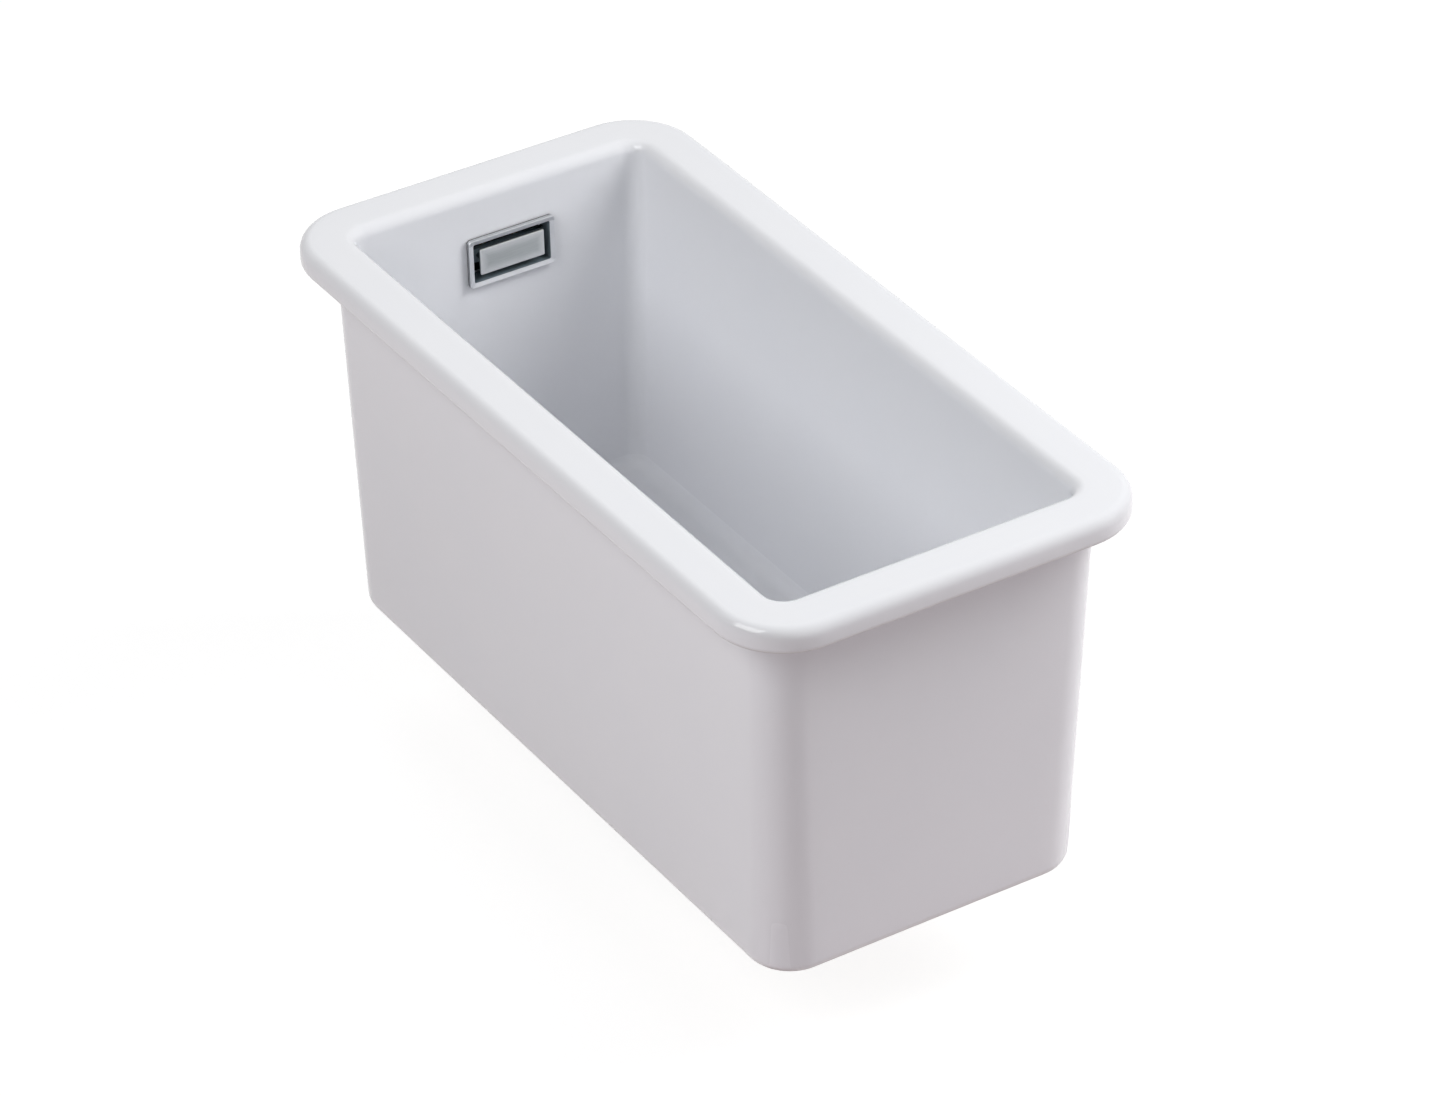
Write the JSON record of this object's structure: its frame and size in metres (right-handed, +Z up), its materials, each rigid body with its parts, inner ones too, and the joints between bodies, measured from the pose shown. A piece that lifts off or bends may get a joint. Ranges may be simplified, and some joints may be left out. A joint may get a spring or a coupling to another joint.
{
  "type": "undermount kitchen sink",
  "caption": "Narrow glazed fireclay undermount sink bowl with a flat rounded rim, a slotted overflow plate, a corrugated overflow hose and a lift-out basket waste.",
  "frame": {"origin": "centre of the rim's flat top face, which meets the underside of the worktop", "axes": "+X across the bowl's width, +Y along its length towards the overflow wall, +Z up"},
  "size_m": [0.265, 0.5524, 0.325],
  "materials": {
    "glazed_fireclay": "gloss glaze",
    "polished_metal": "polished",
    "polished_steel": "bright",
    "satin_steel": "satin",
    "seal_rubber": "matt",
    "black_plastic": "moulded",
    "hose_plastic": "moulded",
    "insert_brass": "turned"
  },
  "bodies": {
    "sink": {"bowl": "glazed_fireclay", "overflow_bezel": "polished_metal", "overflow_panel": "satin_steel", "overflow_front_seal": "seal_rubber", "overflow_rear_seal": "seal_rubber", "overflow_screws": "satin_steel", "overflow_inserts": "insert_brass", "overflow_housing": "black_plastic", "hose_upper_washer": "seal_rubber", "hose_upper_nut": "black_plastic", "overflow_hose": "hose_plastic", "hose_lower_washer": "seal_rubber", "hose_lower_nut": "black_plastic", "waste_flange": "polished_steel", "waste_flange_seal": "seal_rubber", "waste_gasket": "seal_rubber", "waste_body": "black_plastic", "waste_insert": "insert_brass", "screw_washer": "satin_steel", "waste_screw": "satin_steel"},
    "basket": {"basket": "polished_steel", "basket_seal": "seal_rubber", "basket_stem": "satin_steel", "basket_knob": "polished_metal", "basket_clip": "satin_steel"}
  },
  "joints": [
    {"name": "basket_lift", "type": "slide", "parent": "sink", "child": "basket", "axis": [0, 0, 1], "range_m": [0, 0.3]}
  ]
}
